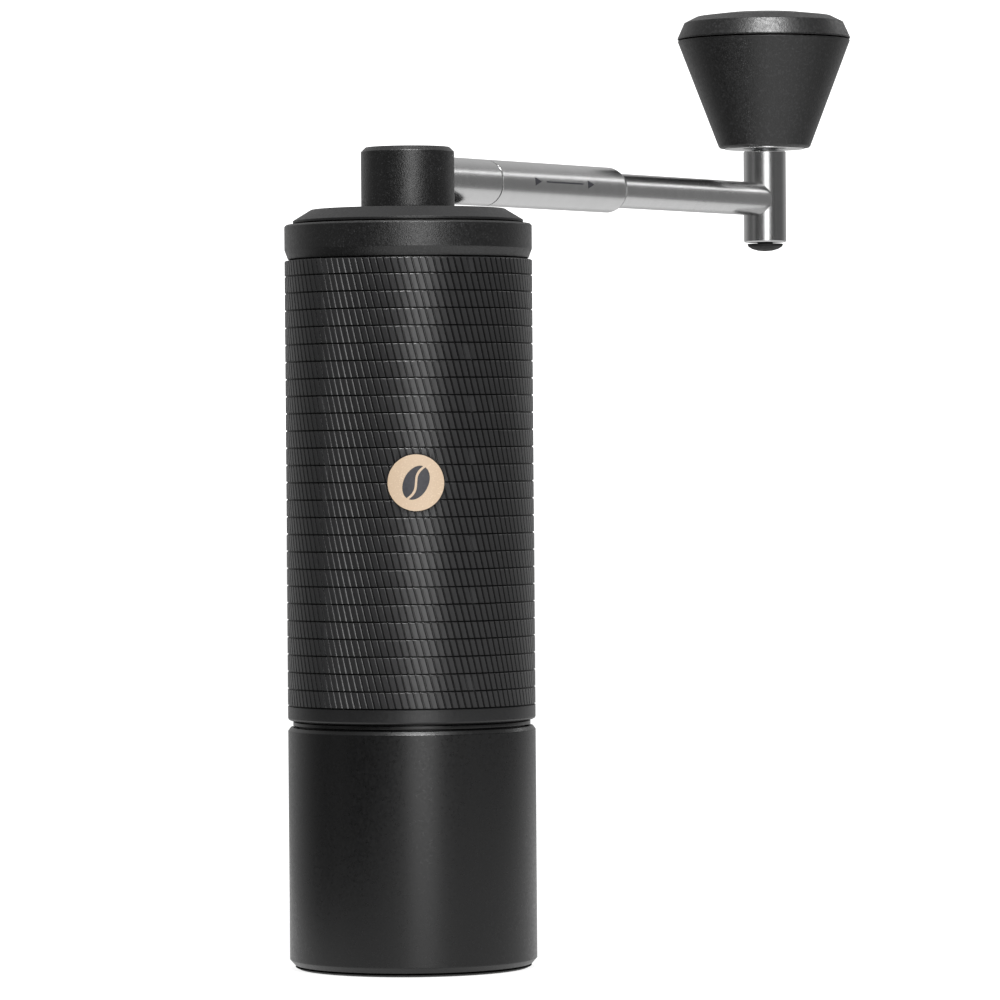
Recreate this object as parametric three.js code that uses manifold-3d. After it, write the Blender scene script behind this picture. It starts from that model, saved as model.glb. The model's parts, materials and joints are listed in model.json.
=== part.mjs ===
// Hand crank coffee grinder with a folding crank.
// Millimetres, +Z up, the origin at the centre of the foot's underside. The badge faces -Y.
// Each mesh is one physical piece. The crank is drawn in its own group, where +X runs along the arm.

import * as THREE from 'three';
import { mergeVertices } from 'three/addons/utils/BufferGeometryUtils.js';
import Module from 'manifold-3d';

const wasm = await Module();
wasm.setup();

// Driving dimensions. Heights are measured from the table, radii from the axis of the piece.
const GAP = 0.3; // clearance between neighbouring pieces
const OVER = 1; // how far a tool reaches past the piece it cuts, and joined solids into each other
const BODY_R = 26.5; // outside radius of cup, shell and collar
const INSERT_R = 24.3; // outside radius of what sits inside the shell

const PAD = { footR: 24.6, rimR: 25.3, bevel: 0.35, rimTop: 0.5, plugR: 23.0, top: 1.8 };
const CUP = {
  bottom: 0.8, footR: 25.4, chamferTop: 2.0, floor: 4.2, fillet: 2.4, boreR: 24.0,
  threadBottom: 43.0, threadR: 24.95, runOut: 1.0, shoulder: 50.9, rimR: 25.9, rim: 51.7,
};
const THREAD = { pitch: 2.6, flank: 0.8, height: 0.25, ridges: 2 };
const RING = {
  bottom: 44.0, rootR: 24.2, boreR: 21.5, flangeR: 25.4, flangeBottom: 52.0, flangeTop: 52.8,
  lipR: 18.2, lipBottom: 55.4, seat: 56.9, top: 58.0,
};
const SHELL = { bottom: 53.1, top: 151.3, boreR: 24.6, chamfer: 0.5 };
const BADGE = { z: 103.9, r: 6.0, innerR: 25.6, pocketR: 25.3 };
const COLLAR = {
  plugBottom: 147.0, boreR: 22.8, bottom: 151.6, footR: 25.75, chamferTop: 153.6, top: 159.0, edge: 0.4,
};
const LINER = { bottom: 89.3, top: 146.7, boreR: 22.4 };

const BURR_RING = { r: 19.0, bottom: 57.2, top: 73.2, teeth: 16, boreR: 17.5, cut: 0.8, throatR: 13.0 };
const BURR_CONE = {
  bottom: 56.5, top: 74.0, r: 17.4, taper: 3.2, flare: 6.7, clearance: 0.55,
  lobes: 6, twist: 0.9, lobeShape: [1, 0.98, 0.86, 0.8], fluteAtBottom: 0.25,
};
const CARRIER = {
  seatTop: 73.5, throatR: 16.5, throatTop: 76.0, chamfer: 1.0, wallR: 21.0, top: 89.0,
  spokeBottom: 82.0, spokeWidth: 4.6,
};
const BRIDGE = { bottom: 127.0, top: 134.0, ringR: 22.1, ringBoreR: 20.3, spokeWidth: 4.0 };
const BEARING = { r: 7.5, outerBoreR: 5.9, innerR: 4.9, width: 5.0, shelf: 1.5, shelfR: 5.2, hubR: 9.5 };
const SET_SCREW = { r: 1.25, inner: 20.9, outer: 24.0, z: 130.5, count: 3, drillFrom: 18.4 };

const SHAFT = { r: 3.0, bottom: 43.8, hexBottom: 150.0, top: 168.5, hexFlat: 5.9, bevel: 0.4 };
const SHAFT_SLEEVE_R = 4.3;
const SNAP = { bottom: 134.4, thickness: 0.8, r: 4.8, grooveR: 2.3 };
const CONE_SPRING = { meanR: 4.2, wireR: 0.45, turns: 4 };
const CLICK = { bottom: 54.9, top: 56.2, r: 11.0, notches: 12, notchDepth: 0.5 };
const DIAL = { bottom: 47.6, top: 54.6, r: 13.0, notches: 16, notchDepth: 0.7 };
const DETENT = { r: 0.9, z: 53.7, at: 8.0, pocketR: 1.2, pocketBottom: 52.5 };

const LID = {
  plugBottom: 153.0, plugR: 21.6, grooveR: 20.6, grooveBottom: 154.5, grooveTop: 156.5,
  flange: 159.3, flangeR: 24.65, bevelBottom: 159.85, topR: 20.8, top: 162.2,
  boreR: 8.0, bossR: 10.5, hollowR: 19.0, hollowTop: 159.0,
};
const LID_BUSH = { r: 7.7, boreR: 6.5 };
const HUB = { r: 10.0, bottom: 162.5, top: 175.5, chamfer: 1.0, boreR: 6.0, boreTop: 172.3 };
const SOCKET = {
  r: 6.2, bottom: 148.0, shoulder: 162.2, upperR: 5.7, top: 172.0, hexFlat: 6.6, hexTop: 170.0,
};
const KEEPER = { bottom: 151.6, thickness: 0.8, r: 9.6, grooveR: 5.3 };

const ARM = { z: 168.9, azimuth: 53.2, length: 150.0, pivot: 39.5, seam: 29.6, rodR: 3.9, neckR: 2.9 };
const STUB = { r: 5.1, spigotR: 3.5, spigotStart: 6.6 };
const TONGUE = { halfWidth: 1.4, halfHeight: 2.4 };
const FORK = { r: 4.05, slotEnd: 42.6, end: 45.5 };
const PIN = { r: 1.2, halfLength: 3.6 };
const SLEEVE = {
  boreR: 4.35, mouthR: 4.2, mouth: 79.5, shoulder: 80.2, rimR: 4.75, edge: 81.4, faceR: 4.4, end: 81.7,
};
const SLEEVE_BUSH = { start: 46.0, end: 48.0, boreR: 3.2 };
const ROD_SHOULDER = 78.0;
const LOCK_SPRING = { meanR: 3.55, wireR: 0.3, turns: 6 };
const ROD_BORE = { r: 2.5, start: 84.0 };
const TENON = { r: 3.1, start: 140.0, end: 150.5 };
const POST = { r: 5.0, bottom: -10.1, top: 11.4, edge: 0.3, spindleHole: 4.4, bumperHole: -6.4 };
const BUMPER = { r: 4.3, bottom: -12.2, top: -10.4, stemR: 1.8, stemTop: -6.7, steps: 4 };
const SPINDLE = { r: 3.0, bottom: 4.7, head: 33.3, headR: 5.0, top: 35.6, keyFlat: 4.0 };

const KNOB = {
  bottom: 12.1, bottomR: 10.8, edge: 0.4, seam: 37.4, seamR: 20.3, plateRecessR: 9.7, plateRecess: 13.4,
  boreR: 5.8, ribBottom: 20.0, ribTop: 26.4, ribR: 4.0, boreTop: 33.0,
  bossR: 8.5, hollowFoot: 20.0, hollowFootR: 11.8, hollowBend: 31.0, hollowR: 15.9,
};
const PLATE = { r: 9.4, boreR: 3.4, bottom: 11.8, top: 13.1 };
const BUSH = { r: 5.5, boreR: 3.3 };
const CAP = {
  plugR: 15.6, plugBottom: 36.1, hollowR: 12.5, hollowTop: 40.8,
  bottom: 37.7, side: 38.0, bevelR: 18.7, bevelTop: 41.6,
  shoulderR: 15.9, shoulder: 43.0, crownR: 9.35, crown: 43.8, top: 44.1,
};

const FINE = 32; // facets round the large turned pieces
const MEDIUM = 24; // facets round the hub, the knob and the badge
const COARSE = 16; // facets round the small ones
const TINY = 12; // facets round screws and balls
const COIL_STEPS = 9; // straight stretches in each turn of a spring

// Materials: colour, roughness, metalness.
const finish = (color, roughness, metalness) => ({ color, roughness, metalness });
const BLACK_ANODISED = finish(0x17181a, 0.38, 0.6);
const BLACK_BLASTED = finish(0x1d1e20, 0.55, 0.5);
const BRUSHED_STEEL = finish(0xb9bbbd, 0.28, 1.0);
const TOOL_STEEL = finish(0x8d9094, 0.35, 1.0);
const BRASS = finish(0xb8975a, 0.35, 1.0);
const GOLD_SATIN = finish(0xc9b48c, 0.4, 1.0);
const BLACK_RUBBER = finish(0x0c0c0c, 0.85, 0.0);
const BLACK_PLASTIC = finish(0x161617, 0.5, 0.0);
const WHITE_PLASTIC = finish(0xd8d6cf, 0.5, 0.0);

// ---------------------------------------------------------------- geometry helpers

function signedVolume(position, index) {
  const a = new THREE.Vector3();
  const b = new THREE.Vector3();
  const c = new THREE.Vector3();
  let six = 0;
  for (let i = 0; i < index.length; i += 3) {
    a.fromBufferAttribute(position, index[i]);
    b.fromBufferAttribute(position, index[i + 1]);
    c.fromBufferAttribute(position, index[i + 2]);
    six += a.dot(b.cross(c));
  }
  return six / 6;
}

// A closed solid from a three.js geometry: shared corners merged, slivers dropped, faces outward.
function solid(geometry) {
  const bare = geometry.clone();
  bare.deleteAttribute('normal');
  bare.deleteAttribute('uv');
  const merged = mergeVertices(bare, 1e-4);
  const position = merged.attributes.position;
  const triangles = [];
  for (let i = 0; i < merged.index.count; i += 3) {
    const [a, b, c] = [0, 1, 2].map((k) => merged.index.getX(i + k));
    if (a !== b && b !== c && c !== a) triangles.push(a, b, c);
  }
  if (signedVolume(position, triangles) < 0) triangles.reverse();
  return new wasm.Manifold(new wasm.Mesh({
    numProp: 3,
    vertProperties: new Float32Array(position.array),
    triVerts: new Uint32Array(triangles),
  }));
}

function geometryOf(manifold) {
  const mesh = manifold.getMesh();
  const geometry = new THREE.BufferGeometry();
  geometry.setAttribute('position', new THREE.BufferAttribute(mesh.vertProperties, 3));
  geometry.setIndex(new THREE.BufferAttribute(mesh.triVerts, 1));
  geometry.computeVertexNormals();
  return geometry;
}

// A piece turned on a lathe about +Z, from its outline as [radius, height] pairs. An outline that
// leaves the axis clear is closed on itself, and becomes a ring.
function turned(outline, facets = COARSE) {
  const points = outline.map(([r, z]) => new THREE.Vector2(r, z));
  const touchesAxis = outline[0][0] === 0;
  if (!touchesAxis) points.push(points[0].clone());
  const lathe = new THREE.LatheGeometry(points, facets);
  lathe.rotateX(Math.PI / 2);
  return solid(lathe);
}

function ring(boreR, r, bottom, top, facets) {
  return turned([[boreR, bottom], [r, bottom], [r, top], [boreR, top]], facets);
}

function rod(r, bottom, top, facets) {
  return turned([[0, bottom], [r, bottom], [r, top], [0, top]], facets);
}

// The same, with +Z laid along +X.
function along(manifold) {
  return solid(geometryOf(manifold).rotateY(Math.PI / 2));
}

function moved(manifold, x, y, z) {
  return solid(geometryOf(manifold).translate(x, y, z));
}

function spun(manifold, angle) {
  return solid(geometryOf(manifold).rotateZ(angle));
}

// A prism of an outline in X and Y, from bottom to top.
function prism(shape, bottom, top, steps = 1) {
  const settings = { depth: top - bottom, steps, bevelEnabled: false, curveSegments: 10 };
  return new THREE.ExtrudeGeometry(shape, settings).translate(0, 0, bottom);
}

// An outline in X and Z, given the thickness 2 * half across Y.
function plate(shape, half) {
  const geometry = prism(shape, -half, half);
  geometry.rotateX(Math.PI / 2);
  return solid(geometry);
}

function polygon(sides, radiusAt, turn = 0) {
  const points = [];
  for (let i = 0; i < sides; i += 1) {
    const angle = turn + (2 * Math.PI * i) / sides;
    const r = radiusAt(i);
    points.push(new THREE.Vector2(r * Math.cos(angle), r * Math.sin(angle)));
  }
  return points;
}

const circleHole = (r, sides = COARSE) => new THREE.Path(polygon(sides, () => r).reverse());

function hexagon(acrossFlats, bottom, top) {
  const corner = acrossFlats / 2 / Math.cos(Math.PI / 6);
  return solid(prism(new THREE.Shape(polygon(6, () => corner)), bottom, top));
}

// A disc whose edge is notched for grip or for clicks.
function notchedDisc(r, boreR, notches, depth, bottom, top) {
  const edge = polygon(notches * 4, (i) => (i % 4 === 0 ? r - depth : r));
  const shape = new THREE.Shape(edge);
  shape.holes.push(circleHole(boreR));
  return solid(prism(shape, bottom, top));
}

class Helix extends THREE.Curve {
  constructor(meanR, turns, bottom, top) {
    super();
    this.meanR = meanR;
    this.turns = turns;
    this.bottom = bottom;
    this.top = top;
  }

  getPoint(t, target = new THREE.Vector3()) {
    const angle = 2 * Math.PI * this.turns * t;
    const z = this.bottom + (this.top - this.bottom) * t;
    return target.set(this.meanR * Math.cos(angle), this.meanR * Math.sin(angle), z);
  }
}

// A coil spring whose wire fills the height from bottom to top.
function coil({ meanR, wireR, turns }, bottom, top) {
  const path = new Helix(meanR, turns, bottom + wireR, top - wireR);
  const section = new THREE.Shape(polygon(4, () => wireR));
  const settings = { steps: turns * COIL_STEPS, bevelEnabled: false, extrudePath: path };
  return solid(new THREE.ExtrudeGeometry(section, settings));
}

// The ridges of a thread, as outline points from low to high. side is +1 outside and -1 in a bore.
function ridges(r, bottom, side) {
  const points = [];
  for (let i = 0; i < THREAD.ridges; i += 1) {
    const z = bottom + i * THREAD.pitch;
    points.push([r, z], [r + side * THREAD.height, z + THREAD.flank], [r, z + 2 * THREAD.flank]);
  }
  return points;
}

const model = new THREE.Group();
const arm = new THREE.Group();
arm.position.z = ARM.z;
arm.rotation.z = THREE.MathUtils.degToRad(ARM.azimuth);
model.add(arm);

function add(name, manifold, look, group = model) {
  const mesh = new THREE.Mesh(geometryOf(manifold), new THREE.MeshStandardMaterial(look));
  mesh.name = name;
  group.add(mesh);
}

// ---------------------------------------------------------------- foot and catch cup

function basePad() {
  return turned([
    [0, 0], [PAD.footR, 0], [PAD.rimR, PAD.bevel], [PAD.rimR, PAD.rimTop],
    [PAD.plugR, PAD.rimTop], [PAD.plugR, PAD.top], [0, PAD.top],
  ], FINE);
}

function catchCup() {
  const recessR = PAD.plugR + GAP;
  const recessTop = PAD.top + GAP;
  return turned([
    [0, recessTop], [recessR, recessTop], [recessR, CUP.bottom], [CUP.footR, CUP.bottom],
    [BODY_R, CUP.chamferTop], [BODY_R, CUP.shoulder], [CUP.rimR, CUP.rim], [CUP.threadR, CUP.rim],
    ...ridges(CUP.threadR, CUP.threadBottom + THREAD.pitch, -1).reverse(),
    [CUP.threadR, CUP.threadBottom], [CUP.boreR, CUP.threadBottom - CUP.runOut],
    [CUP.boreR, CUP.floor + CUP.fillet], [CUP.boreR - CUP.fillet, CUP.floor], [0, CUP.floor],
  ], FINE);
}

// ---------------------------------------------------------------- barrel

function threadCollar() {
  const seatR = BURR_RING.r + GAP;
  return turned([
    [RING.boreR, RING.bottom], [RING.rootR, RING.bottom],
    ...ridges(RING.rootR, RING.bottom + THREAD.flank, 1),
    [RING.rootR, RING.flangeBottom], [RING.flangeR, RING.flangeBottom], [RING.flangeR, RING.flangeTop],
    [INSERT_R, RING.flangeTop], [INSERT_R, RING.top], [seatR, RING.top], [seatR, RING.seat],
    [RING.lipR, RING.seat], [RING.lipR, RING.lipBottom], [RING.boreR, RING.flangeTop],
  ], FINE);
}

function badgePlug(r) {
  const plug = solid(geometryOf(rod(r, 0, BODY_R + OVER, MEDIUM)).rotateX(Math.PI / 2));
  return moved(plug, 0, 0, BADGE.z);
}

function outerShell() {
  const tube = turned([
    [SHELL.boreR, SHELL.bottom], [BODY_R - SHELL.chamfer, SHELL.bottom],
    [BODY_R, SHELL.bottom + SHELL.chamfer], [BODY_R, SHELL.top - SHELL.chamfer],
    [BODY_R - SHELL.chamfer, SHELL.top], [SHELL.boreR, SHELL.top],
  ], FINE);
  const core = rod(BADGE.pocketR, SHELL.bottom, SHELL.top, FINE);
  return tube.subtract(badgePlug(BADGE.r + GAP).subtract(core));
}

function badge() {
  const skin = ring(BADGE.innerR, BODY_R, BADGE.z - 2 * BADGE.r, BADGE.z + 2 * BADGE.r, FINE);
  const front = badgePlug(BADGE.r);
  return skin.intersect(front);
}

function topCollar() {
  return turned([
    [COLLAR.boreR, COLLAR.plugBottom], [INSERT_R, COLLAR.plugBottom], [INSERT_R, COLLAR.bottom],
    [COLLAR.footR, COLLAR.bottom], [BODY_R, COLLAR.chamferTop], [BODY_R, COLLAR.top - COLLAR.edge],
    [BODY_R - COLLAR.edge, COLLAR.top], [COLLAR.boreR, COLLAR.top],
  ], FINE);
}

// A rod laid out from the body's axis at the height of the set screws, turned round to one of them.
function setScrewAxis(r, inner, outer, turn) {
  return spun(moved(along(rod(r, inner, outer, TINY)), 0, 0, SET_SCREW.z), turn);
}

function eachSetScrew(make) {
  const step = (2 * Math.PI) / SET_SCREW.count;
  return Array.from({ length: SET_SCREW.count }, (_, i) => make((i + 0.5) * step));
}

function drilledForScrews(manifold) {
  const drills = eachSetScrew((turn) => setScrewAxis(SET_SCREW.r + GAP, SET_SCREW.drillFrom, BODY_R, turn));
  return drills.reduce((left, drill) => left.subtract(drill), manifold);
}

function hopperLiner() {
  return drilledForScrews(ring(LINER.boreR, INSERT_R, LINER.bottom, LINER.top, FINE));
}

// Three spokes from the bearing hub out to the ring that carries them.
function spokes(reach, width, bottom, top) {
  const start = BEARING.r + OVER;
  const beam = new THREE.BoxGeometry(reach - start, width, top - bottom);
  beam.translate((reach + start) / 2, 0, (bottom + top) / 2);
  return [0, 1, 2].map((i) => spun(solid(beam), (2 * Math.PI * i) / 3));
}

function bearingHub(bottom, top) {
  return turned([
    [BEARING.shelfR, bottom], [BEARING.hubR, bottom], [BEARING.hubR, top], [BEARING.r + GAP, top],
    [BEARING.r + GAP, bottom + BEARING.shelf], [BEARING.shelfR, bottom + BEARING.shelf],
  ]);
}

function burrCarrier() {
  const seatR = BURR_RING.r + GAP;
  const tube = turned([
    [seatR, RING.top + GAP], [INSERT_R, RING.top + GAP], [INSERT_R, CARRIER.top],
    [CARRIER.wallR, CARRIER.top], [CARRIER.wallR, CARRIER.throatTop],
    [CARRIER.throatR, CARRIER.throatTop - CARRIER.chamfer], [CARRIER.throatR, CARRIER.seatTop],
    [seatR, CARRIER.seatTop],
  ], FINE);
  const arms = spokes(CARRIER.wallR + OVER, CARRIER.spokeWidth, CARRIER.spokeBottom, CARRIER.top);
  return [tube, bearingHub(CARRIER.spokeBottom, CARRIER.top), ...arms].reduce((a, b) => a.add(b));
}

function upperBridge() {
  const rim = ring(BRIDGE.ringBoreR, BRIDGE.ringR, BRIDGE.bottom, BRIDGE.top, FINE);
  const arms = spokes(BRIDGE.ringBoreR + OVER, BRIDGE.spokeWidth, BRIDGE.bottom, BRIDGE.top);
  const bridge = [rim, bearingHub(BRIDGE.bottom, BRIDGE.top), ...arms].reduce((a, b) => a.add(b));
  return drilledForScrews(bridge);
}

const bearingBottom = (seat) => seat + BEARING.shelf + GAP;

function addBearing(name, seat) {
  const bottom = bearingBottom(seat);
  const top = bottom + BEARING.width;
  add(`${name}_outer_race`, ring(BEARING.outerBoreR, BEARING.r, bottom, top), BRUSHED_STEEL);
  add(`${name}_inner_race`, ring(SHAFT.r + GAP, BEARING.innerR, bottom, top), BRUSHED_STEEL);
}

// ---------------------------------------------------------------- burrs

const coneShare = (z) => (z - BURR_CONE.bottom) / (BURR_CONE.top - BURR_CONE.bottom);

// Radius of the cone burr at a height: nearly straight low down, where it mills fine, and steeper above.
function coneRadius(z) {
  const share = coneShare(z);
  return BURR_CONE.r - BURR_CONE.taper * share - BURR_CONE.flare * share * share;
}

// Reshapes an extruded star: points beyond fromR are scaled and twisted by their height.
function reshape(geometry, fromR, radiusAt, twistAt) {
  const position = geometry.attributes.position;
  for (let i = 0; i < position.count; i += 1) {
    const x = position.getX(i);
    const y = position.getY(i);
    const r = Math.hypot(x, y);
    if (r < fromR) continue;
    const z = position.getZ(i);
    const angle = Math.atan2(y, x) + twistAt(z);
    const newR = radiusAt(z, r);
    position.setXY(i, newR * Math.cos(angle), newR * Math.sin(angle));
  }
  return geometry;
}

function innerBurr() {
  const shape = BURR_CONE.lobeShape;
  const edge = polygon(BURR_CONE.lobes * shape.length, (i) => BURR_CONE.r * shape[i % shape.length]);
  const star = new THREE.Shape(edge);
  star.holes.push(circleHole(SHAFT.r + GAP));
  const blank = prism(star, BURR_CONE.bottom, BURR_CONE.top, 5);
  const fluteDepth = (z) => THREE.MathUtils.lerp(BURR_CONE.fluteAtBottom, 1, coneShare(z));
  const radiusAt = (z, r) => coneRadius(z) * (1 - (1 - r / BURR_CONE.r) * fluteDepth(z));
  return solid(reshape(blank, SHAFT.r + OVER, radiusAt, (z) => BURR_CONE.twist * coneShare(z)));
}

function outerBurr() {
  const rim = new THREE.Shape(polygon(FINE, () => BURR_RING.r));
  const teeth = polygon(BURR_RING.teeth * 2, (i) => BURR_RING.boreR + (i % 2) * BURR_RING.cut);
  rim.holes.push(new THREE.Path(teeth.reverse()));
  const blank = prism(rim, BURR_RING.bottom, BURR_RING.top, 3);
  const boreAt = (z) => Math.max(coneRadius(z) + BURR_CONE.clearance, BURR_RING.throatR);
  const radiusAt = (z, r) => (r > BURR_RING.r - GAP ? r : boreAt(z) + r - BURR_RING.boreR);
  return solid(reshape(blank, 0, radiusAt, () => 0));
}

// ---------------------------------------------------------------- shaft, dial

function driveShaft() {
  const grooveBottom = SNAP.bottom - GAP;
  const grooveTop = SNAP.bottom + SNAP.thickness + GAP;
  const round = turned([
    [0, SHAFT.bottom], [SHAFT.r - SHAFT.bevel, SHAFT.bottom], [SHAFT.r, SHAFT.bottom + SHAFT.bevel],
    [SHAFT.r, grooveBottom], [SNAP.grooveR, grooveBottom],
    [SNAP.grooveR, grooveTop], [SHAFT.r, grooveTop],
    [SHAFT.r, SHAFT.hexBottom], [0, SHAFT.hexBottom],
  ]);
  return round.add(hexagon(SHAFT.hexFlat, SHAFT.hexBottom - OVER, SHAFT.top));
}

function shaftSleeve() {
  return ring(SHAFT.r + GAP, SHAFT_SLEEVE_R, CARRIER.top, BRIDGE.bottom + BEARING.shelf);
}

function shaftSnapRing() {
  return ring(SNAP.grooveR + GAP, SNAP.r, SNAP.bottom, SNAP.bottom + SNAP.thickness);
}

function burrSpring() {
  return coil(CONE_SPRING, BURR_CONE.top + GAP, bearingBottom(CARRIER.spokeBottom) - GAP);
}

function clickPlate() {
  return notchedDisc(CLICK.r, SHAFT.r + GAP, CLICK.notches, CLICK.notchDepth, CLICK.bottom, CLICK.top);
}

function adjusterDial() {
  const disc = notchedDisc(DIAL.r, SHAFT.r + GAP, DIAL.notches, DIAL.notchDepth, DIAL.bottom, DIAL.top);
  const pocket = rod(DETENT.pocketR, DETENT.pocketBottom, DIAL.top + OVER, TINY);
  return disc.subtract(moved(pocket, DETENT.at, 0, 0)).subtract(moved(pocket, -DETENT.at, 0, 0));
}

function detentBall(side) {
  const ball = new THREE.SphereGeometry(DETENT.r, TINY, TINY / 2);
  ball.translate(side * DETENT.at, 0, DETENT.z);
  return solid(ball);
}

// ---------------------------------------------------------------- lid and hub

function lid() {
  return turned([
    [LID.boreR, LID.plugBottom], [LID.bossR, LID.plugBottom], [LID.bossR, LID.hollowTop],
    [LID.hollowR, LID.hollowTop], [LID.hollowR, LID.plugBottom], [LID.plugR, LID.plugBottom],
    [LID.plugR, LID.grooveBottom], [LID.grooveR, LID.grooveBottom], [LID.grooveR, LID.grooveTop],
    [LID.plugR, LID.grooveTop], [LID.plugR, LID.flange], [LID.flangeR, LID.flange],
    [LID.flangeR, LID.bevelBottom], [LID.topR, LID.top], [LID.boreR, LID.top],
  ], FINE);
}

function lidGasket() {
  const [bottom, top] = [LID.grooveBottom + GAP, LID.grooveTop - GAP];
  return ring(LID.grooveR + GAP, COLLAR.boreR - GAP, bottom, top, FINE);
}

const lidBush = () => ring(LID_BUSH.boreR, LID_BUSH.r, LID.plugBottom + GAP, LID.top - GAP);

function lidRetainingRing() {
  return ring(KEEPER.grooveR + GAP, KEEPER.r, KEEPER.bottom, KEEPER.bottom + KEEPER.thickness);
}

function crankHub() {
  const blank = turned([
    [0, HUB.boreTop], [HUB.boreR, HUB.boreTop], [HUB.boreR, HUB.bottom], [HUB.r, HUB.bottom],
    [HUB.r, HUB.top - HUB.chamfer], [HUB.r - HUB.chamfer, HUB.top], [0, HUB.top],
  ], MEDIUM);
  const hole = along(rod(STUB.spigotR + GAP, HUB.boreR - OVER, HUB.r + OVER));
  return blank.subtract(spun(moved(hole, 0, 0, ARM.z), THREE.MathUtils.degToRad(ARM.azimuth)));
}

function driveSocket() {
  const grooveBottom = KEEPER.bottom - GAP;
  const grooveTop = KEEPER.bottom + KEEPER.thickness + GAP;
  const blank = turned([
    [0, SOCKET.bottom], [SOCKET.r, SOCKET.bottom], [SOCKET.r, grooveBottom], [KEEPER.grooveR, grooveBottom],
    [KEEPER.grooveR, grooveTop], [SOCKET.r, grooveTop], [SOCKET.r, SOCKET.shoulder],
    [SOCKET.upperR, SOCKET.shoulder], [SOCKET.upperR, SOCKET.top], [0, SOCKET.top],
  ]);
  return blank.subtract(hexagon(SOCKET.hexFlat, SOCKET.bottom - OVER, SOCKET.hexTop));
}

// ---------------------------------------------------------------- crank, +X along the arm

function tongueOutline() {
  const shape = new THREE.Shape();
  shape.moveTo(ARM.seam - OVER, -TONGUE.halfHeight);
  shape.lineTo(ARM.pivot, -TONGUE.halfHeight);
  shape.absarc(ARM.pivot, 0, TONGUE.halfHeight, -Math.PI / 2, Math.PI / 2, false);
  shape.lineTo(ARM.seam - OVER, TONGUE.halfHeight);
  return shape;
}

// A rod on the fold hinge's axis.
function onHinge(r, halfLength) {
  const blank = rod(r, -halfLength, halfLength, COARSE);
  return solid(geometryOf(blank).rotateX(Math.PI / 2).translate(ARM.pivot, 0, 0));
}

const pinHole = () => onHinge(PIN.r + GAP, STUB.r);

function crankStub() {
  const saddle = rod(HUB.r + GAP, -STUB.r - OVER, STUB.r + OVER, MEDIUM);
  const tube = along(rod(STUB.r, HUB.boreR, ARM.seam)).subtract(saddle);
  const spigot = along(rod(STUB.spigotR, STUB.spigotStart, HUB.r + 2 * OVER));
  const tongue = plate(tongueOutline(), TONGUE.halfWidth);
  return tube.add(spigot).add(tongue).subtract(pinHole());
}

const hingePin = () => onHinge(PIN.r, PIN.halfLength);

function forkOutline() {
  const shape = new THREE.Shape();
  shape.moveTo(FORK.end, FORK.r);
  shape.lineTo(ARM.pivot, FORK.r);
  shape.absarc(ARM.pivot, 0, FORK.r, Math.PI / 2, (3 * Math.PI) / 2, false);
  shape.lineTo(FORK.end, -FORK.r);
  return shape;
}

function crankRod() {
  const blankStart = ARM.pivot - FORK.r - OVER;
  const blank = along(turned([
    [0, blankStart], [FORK.r, blankStart], [FORK.r, FORK.end], [ARM.neckR, FORK.end],
    [ARM.neckR, ROD_SHOULDER], [ARM.rodR, ROD_SHOULDER], [ARM.rodR, ARM.length], [0, ARM.length],
  ]));
  const roundEnd = plate(forkOutline(), STUB.r);
  const corners = along(rod(FORK.r + OVER, blankStart - OVER, FORK.end - GAP)).subtract(roundEnd);
  const slotStart = blankStart - OVER;
  const slotWidth = 2 * (TONGUE.halfWidth + GAP);
  const slot = new THREE.BoxGeometry(FORK.slotEnd - slotStart, slotWidth, 3 * FORK.r);
  slot.translate((FORK.slotEnd + slotStart) / 2, 0, 0);
  const saddle = moved(rod(POST.r + GAP, POST.bottom, POST.top, MEDIUM), ARM.length, 0, 0);
  const cuts = [corners, solid(slot), pinHole(), saddle];
  const tenon = along(rod(TENON.r, TENON.start, TENON.end));
  const bore = along(rod(ROD_BORE.r, ROD_BORE.start, TENON.end + OVER));
  return cuts.reduce((left, cut) => left.subtract(cut), blank).add(tenon).subtract(bore);
}

function pullSleeve() {
  return along(turned([
    [SLEEVE.boreR, ARM.seam + GAP], [STUB.r, ARM.seam + GAP], [STUB.r, SLEEVE.shoulder],
    [SLEEVE.rimR, SLEEVE.edge], [SLEEVE.faceR, SLEEVE.end], [SLEEVE.mouthR, SLEEVE.end],
    [SLEEVE.mouthR, SLEEVE.mouth], [SLEEVE.boreR, SLEEVE.mouth],
  ]));
}

function sleeveBush() {
  return along(ring(SLEEVE_BUSH.boreR, SLEEVE.boreR - GAP, SLEEVE_BUSH.start, SLEEVE_BUSH.end));
}

const sleeveSpring = () => along(coil(LOCK_SPRING, SLEEVE_BUSH.end + GAP, ROD_SHOULDER - GAP));

const atPost = (manifold) => moved(manifold, ARM.length, 0, 0);

function endPost() {
  const blank = turned([
    [0, POST.bottom], [POST.r - POST.edge, POST.bottom], [POST.r, POST.bottom + POST.edge],
    [POST.r, POST.top - POST.edge], [POST.r - POST.edge, POST.top], [0, POST.top],
  ]);
  const spindleHole = rod(SPINDLE.r + GAP, POST.spindleHole, POST.top + OVER);
  const bumperHole = rod(BUMPER.stemR + GAP, POST.bottom - OVER, POST.bumperHole);
  const tenonHole = along(rod(TENON.r + GAP, -POST.r - OVER, TENON.end - ARM.length + GAP));
  return atPost(blank.subtract(spindleHole).subtract(bumperHole).subtract(tenonHole));
}

function postBumper() {
  const dome = [];
  for (let i = 0; i <= BUMPER.steps; i += 1) {
    const angle = (Math.PI / 2) * (i / BUMPER.steps);
    const z = BUMPER.top - (BUMPER.top - BUMPER.bottom) * Math.cos(angle);
    dome.push([BUMPER.r * Math.sin(angle), z]);
  }
  const stem = [[BUMPER.stemR, BUMPER.top], [BUMPER.stemR, BUMPER.stemTop], [0, BUMPER.stemTop]];
  return atPost(turned([...dome, ...stem]));
}

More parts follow.
